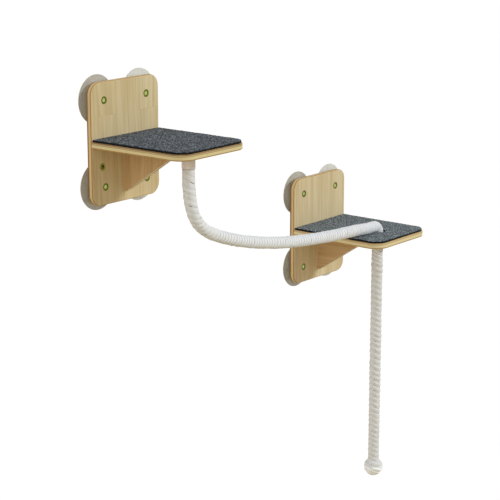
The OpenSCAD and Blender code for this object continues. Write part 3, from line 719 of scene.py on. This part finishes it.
span = wound_tube("wound_rope_span", rope_rings[:elbow_start + 1])
elbow = wound_tube("wound_rope_elbow", rope_rings[elbow_start:tail_start + 1])
tail = wound_tube("wound_rope_tail", rope_rings[tail_start:])
for rope, start in ((span, 0), (elbow, elbow_start), (tail, tail_start)):
    for cotton in (parted_cotton, close_cotton, frayed_cotton):
        rope.data.materials.append(cotton)
    for face in rope.data.polygons:
        run = (start + face.index // rope_sides) * ring_step
        face.material_index = 2 if run < open_from else int(run > open_to)
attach(span, "steps")
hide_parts("rope_span")
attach(elbow, "steps")
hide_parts("rope_elbow")

# End knot: the rope flares to a shoulder, and a thicker cord of whiter cotton is wound between three and
# four times round its end, into a knob that closes over the tip. The loops lean to the same side as
# the tail's turns. Both outlines give the distance from the axis and the height over the knot's foot.
knot_height = 0.040
knot_step = 0.0008
knob_turn = 0.0105
knob_groove = 0.0007
knob_lean = 0.75
knot_swell = 0.0004
knob_strands = 14
outline_parts = 12
shoulder_outline = [
    (0.0130, knot_height), (0.0152, 0.0380), (0.0180, 0.0345), (0.0203, 0.0300), (0.0212, 0.0258)]
knob_outline = [
    (0.0212, 0.0258), (0.0222, 0.0242), (0.0225, 0.0215), (0.0218, 0.0172), (0.0198, 0.0122),
    (0.0165, 0.0076), (0.0125, 0.0038), (0.0080, 0.0013), (0.0035, 0.0002), (0.0006, 0.0)]
knot_foot = tail_foot - knot_height
shoulder_line = even_steps(smooth_line(shoulder_outline, outline_parts), knot_step)
knob_line = even_steps(smooth_line(knob_outline, outline_parts), knot_step)

# the shoulder carries on the tail's own turns, and the knob has turns, lean and groove of its own
knot_rings = []
for i, (radius, height) in enumerate(shoulder_line + knob_line[1:]):
    on_knob = i >= len(shoulder_line)
    knot_rings.append((Vector((hole_x, rope_y, knot_foot + height)), Vector((0, -1)), radius, turns,
                       knob_lean if on_knob else lean, knob_groove if on_knob else groove, knot_swell))
    turns += knot_step / (knob_turn if on_knob else width)
knot = wound_tube("end_knot_cord", knot_rings)
whiter_cotton = cotton_cord("whiter_cotton_wound", "FFFFFF", "FFFFFF", "EEEEEE", knob_strands, 0.72)
knot.data.materials.append(close_cotton)
knot.data.materials.append(whiter_cotton)
for face in knot.data.polygons:
    face.material_index = int(face.index >= (len(shoulder_line) - 1) * rope_sides)
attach(knot, "tail")
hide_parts("end_knot")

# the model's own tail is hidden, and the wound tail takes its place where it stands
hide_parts("rope_tail")
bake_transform(tail)

# Collar: a turned plug under the upper shelf, screwed on from above and bound with cotton tape, into
# which the rope's end is fastened. It stands a little proud of the rope, and the tape's end laps over
# its start.
collar_height = shelf_foot - collar_foot
collar_proud = 0.0004
collar_sides = 72
collar_round = 0.0012
tape_lap = 0.0006
tape_weave = 0.0012
wave_per_metre = 0.314  # the scale at which a wave texture has one band a metre

bpy.ops.object.select_all(action="DESELECT")
bpy.ops.mesh.primitive_cylinder_add(
    vertices=collar_sides, radius=rope_radius + collar_proud, depth=collar_height,
    location=(0, rope_y, shelf_foot - collar_height / 2))
bpy.ops.object.transform_apply(location=True, rotation=True, scale=True)
collar = bpy.context.object
collar.name = "taped_collar"
bpy.ops.object.mode_set(mode="EDIT")
bpy.ops.mesh.select_all(action="SELECT")
bpy.ops.mesh.bevel(offset=collar_round, segments=3, affect="EDGES")
bpy.ops.object.mode_set(mode="OBJECT")
for vertex in collar.data.vertices:
    turn = math.atan2(vertex.co.y - rope_y, vertex.co.x) / (2 * math.pi) + 0.5
    lap = tape_lap * (1 - turn)
    vertex.co.x *= 1 + lap / rope_radius
    vertex.co.y = rope_y + (vertex.co.y - rope_y) * (1 + lap / rope_radius)
bpy.ops.object.shade_smooth_by_angle(angle=crease_from)

# Woven cotton tape: matt and off-white, with a fine weave across it. A darker line along its lower
# edge, where it meets the rope, is painted shade.
cotton_tape = bpy.data.materials.new("cotton_tape_woven")
cotton_tape.use_nodes = True
tape = cotton_tape.node_tree.nodes["Principled BSDF"]
tape_place = add_node(cotton_tape, "ShaderNodeTexCoord").outputs["Object"]
weave = add_node(cotton_tape, "ShaderNodeTexWave", {
    "Vector": tape_place, "Scale": wave_per_metre / tape_weave, "Distortion": 0.5}, bands_direction="Z")
tape_tone = add_node(cotton_tape, "ShaderNodeMix", {
    "Factor": weave.outputs["Fac"], "A": linear("FFF8F6"), "B": linear("F3EAE8")}, data_type="RGBA")
tape_height = add_node(cotton_tape, "ShaderNodeSeparateXYZ", {0: tape_place})
painted_seam_shade = add_node(cotton_tape, "ShaderNodeMapRange", {
    "Value": tape_height.outputs["Z"], "From Min": collar_foot + 0.001, "From Max": collar_foot + 0.002})
tape_colour = add_node(cotton_tape, "ShaderNodeMix", {
    "Factor": painted_seam_shade.outputs[0], "A": linear("B2A498"), "B": tape_tone.outputs["Result"]},
    data_type="RGBA")
tape_relief = add_node(cotton_tape, "ShaderNodeBump", {
    "Height": weave.outputs["Fac"], "Strength": 0.5, "Distance": 0.0002})
cotton_tape.node_tree.links.new(tape_colour.outputs["Result"], tape.inputs["Base Color"])
cotton_tape.node_tree.links.new(tape_relief.outputs[0], tape.inputs["Normal"])
tape.inputs["Roughness"].default_value = 0.85
collar.data.materials.clear()
collar.data.materials.append(cotton_tape)
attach(collar, "steps")
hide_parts("rope_collar")

# Stage: a wide pale floor well under the knot, a soft lamp in front on the right that stands about 26
# degrees high, and a sky that is brightest on the left and next on the right. The camera, glass and
# metal see the floor and the sky as white.
floor_size = 120
floor_place = (0, 0, -1.25)
floor_white = 1.06
floor_white_share = 0.93
sky_white = 1.08
sky_base = 0.10
sky_sides = (("X", -1, 1.22), ("X", 1, 0.80), ("Y", -1, 0.16), ("Y", 1, 0.30))
lamp_strength = 1.40
lamp_spread = math.radians(5)
lamp_colour = (0.90, 0.98, 1.0)
lamp_way = Vector((0.442, -0.782, 0.439))

bpy.ops.object.select_all(action="DESELECT")
bpy.ops.mesh.primitive_plane_add(size=floor_size, location=floor_place)
floor = bpy.context.object
floor.name = "floor"
pale_floor = bpy.data.materials.new("pale_floor")
pale_floor.use_nodes = True
floor_nodes = pale_floor.node_tree
matt = floor_nodes.nodes["Principled BSDF"]
matt.inputs["Base Color"].default_value = linear("BEB08A")
matt.inputs["Roughness"].default_value = 0.9
light_path = add_node(pale_floor, "ShaderNodeLightPath")
seen = add_node(pale_floor, "ShaderNodeMath", {
    0: light_path.outputs["Is Camera Ray"], 1: light_path.outputs["Is Glossy Ray"]}, operation="MAXIMUM")
seen_through = add_node(pale_floor, "ShaderNodeMath", {
    0: seen.outputs[0], 1: light_path.outputs["Is Transmission Ray"]}, operation="MAXIMUM")
part_white = add_node(pale_floor, "ShaderNodeMath", {
    0: seen_through.outputs[0], 1: floor_white_share}, operation="MULTIPLY")
white = add_node(pale_floor, "ShaderNodeEmission", {"Strength": floor_white})
shown = add_node(pale_floor, "ShaderNodeMixShader", {
    0: part_white.outputs[0], 1: matt.outputs[0], 2: white.outputs[0]})
floor_nodes.links.new(shown.outputs[0], floor_nodes.nodes["Material Output"].inputs["Surface"])
floor.data.materials.append(pale_floor)

world = bpy.data.worlds.new("pale_sky")
bpy.context.scene.world = world
world.use_nodes = True
sky = world.node_tree
sky_path = add_node(world, "ShaderNodeLightPath")
sky_seen = add_node(world, "ShaderNodeMath", {
    0: sky_path.outputs["Is Camera Ray"], 1: sky_path.outputs["Is Glossy Ray"]}, operation="MAXIMUM")
sky_through = add_node(world, "ShaderNodeMath", {
    0: sky_seen.outputs[0], 1: sky_path.outputs["Is Transmission Ray"]}, operation="MAXIMUM")
sky_way = add_node(world, "ShaderNodeSeparateXYZ", {
    0: add_node(world, "ShaderNodeTexCoord").outputs["Generated"]})
sky_light = sky_base
for axis, far_side, amount in sky_sides:
    side = add_node(world, "ShaderNodeMapRange", {
        "Value": sky_way.outputs[axis], "From Min": 0.0, "From Max": far_side, "To Max": amount})
    sky_light = add_node(world, "ShaderNodeMath", {0: side.outputs[0], 1: sky_light}).outputs[0]
sky_strength = add_node(world, "ShaderNodeMix", {
    "Factor": sky_through.outputs[0], "A": sky_light, "B": sky_white})
sky.nodes["Background"].inputs["Color"].default_value = linear("FFFFFF")
sky.links.new(sky_strength.outputs["Result"], sky.nodes["Background"].inputs["Strength"])

lamp_data = bpy.data.lights.new("soft_lamp", "SUN")
lamp_data.energy = lamp_strength
lamp_data.angle = lamp_spread
lamp_data.color = lamp_colour
lamp = bpy.data.objects.new("soft_lamp", lamp_data)
bpy.context.scene.collection.objects.link(lamp)
lamp.location = 3 * lamp_way
lamp.rotation_euler = lamp_way.to_track_quat("Z", "Y").to_euler()

bpy.context.scene.view_settings.view_transform = "Standard"
